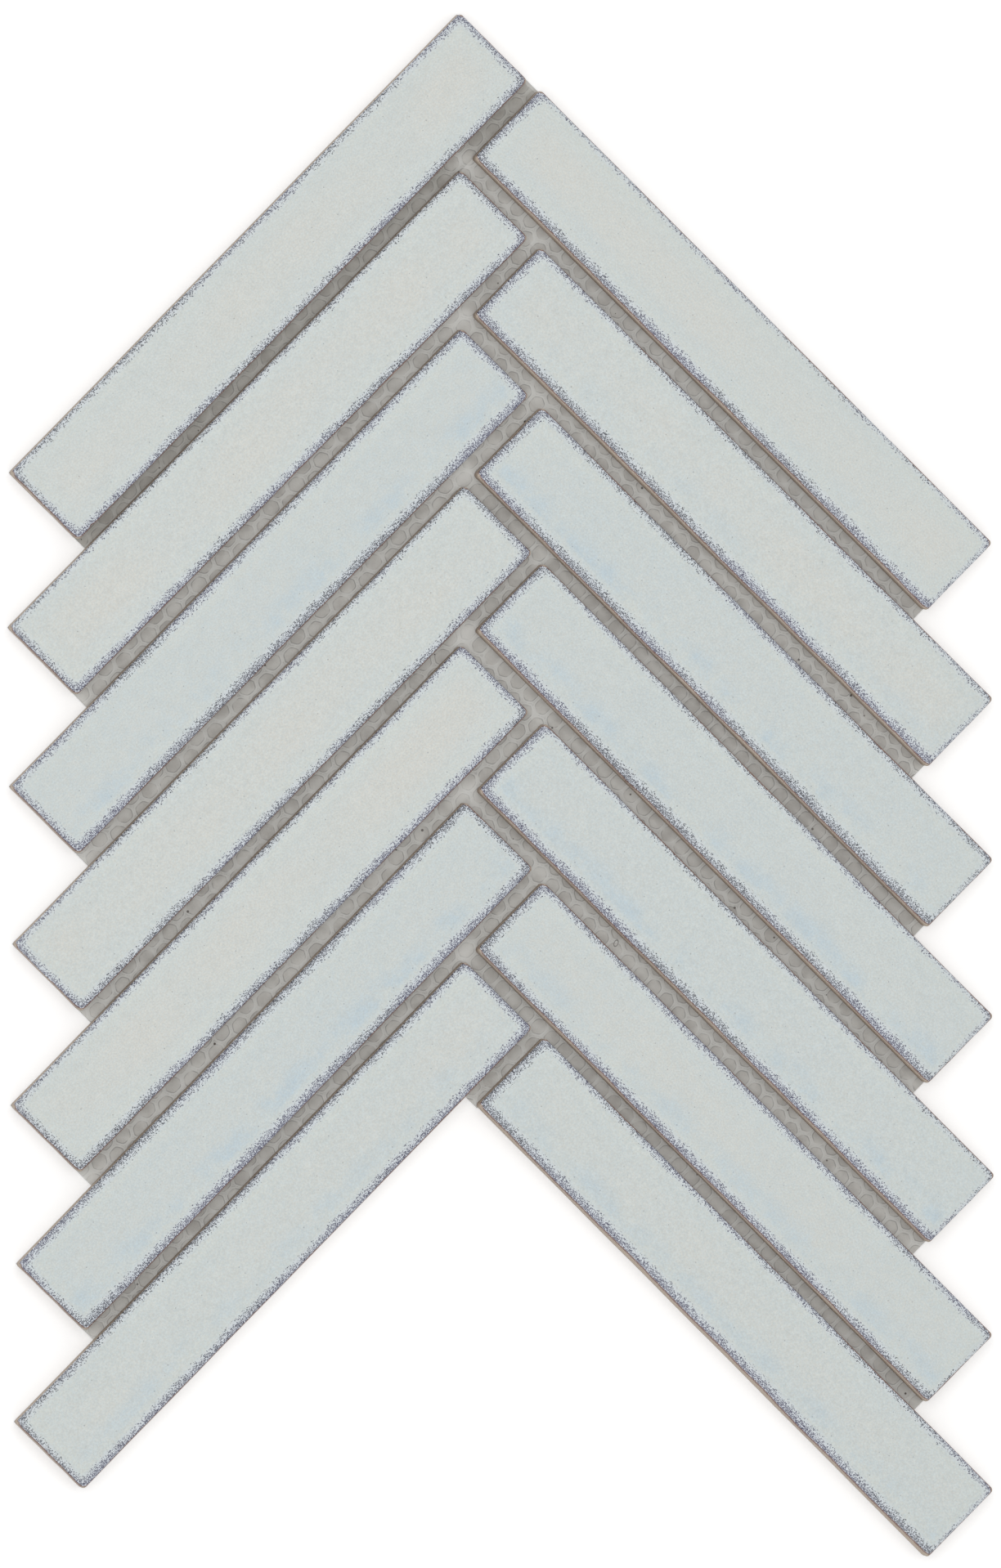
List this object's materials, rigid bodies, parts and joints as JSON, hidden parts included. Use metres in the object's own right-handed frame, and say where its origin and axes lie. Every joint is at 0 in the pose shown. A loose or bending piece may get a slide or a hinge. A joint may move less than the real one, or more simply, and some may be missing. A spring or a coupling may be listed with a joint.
{
  "type": "herringbone mosaic tile sheet",
  "caption": "Sheet of herringbone mosaic: pale glazed stick tiles with dark speckled edges, held at right angles with open joints on a netted glue film",
  "frame": {"origin": "middle of the sheet's outline, on the underside of the backing", "axes": "+Z out of the glazed faces, +Y towards the pointed top of the chevrons, +X to the right"},
  "size_m": [0.226, 0.3526, 0.006],
  "materials": {
    "glazed_tile": "satin",
    "glue_film": "matt"
  },
  "bodies": {
    "root": {"mesh_backing": "glue_film", "tile_left_1": "glazed_tile", "tile_left_2": "glazed_tile", "tile_left_3": "glazed_tile", "tile_left_4": "glazed_tile", "tile_left_5": "glazed_tile", "tile_left_6": "glazed_tile", "tile_left_7": "glazed_tile", "tile_right_1": "glazed_tile", "tile_right_2": "glazed_tile", "tile_right_3": "glazed_tile", "tile_right_4": "glazed_tile", "tile_right_5": "glazed_tile", "tile_right_6": "glazed_tile", "tile_right_7": "glazed_tile"}
  },
  "joints": []
}
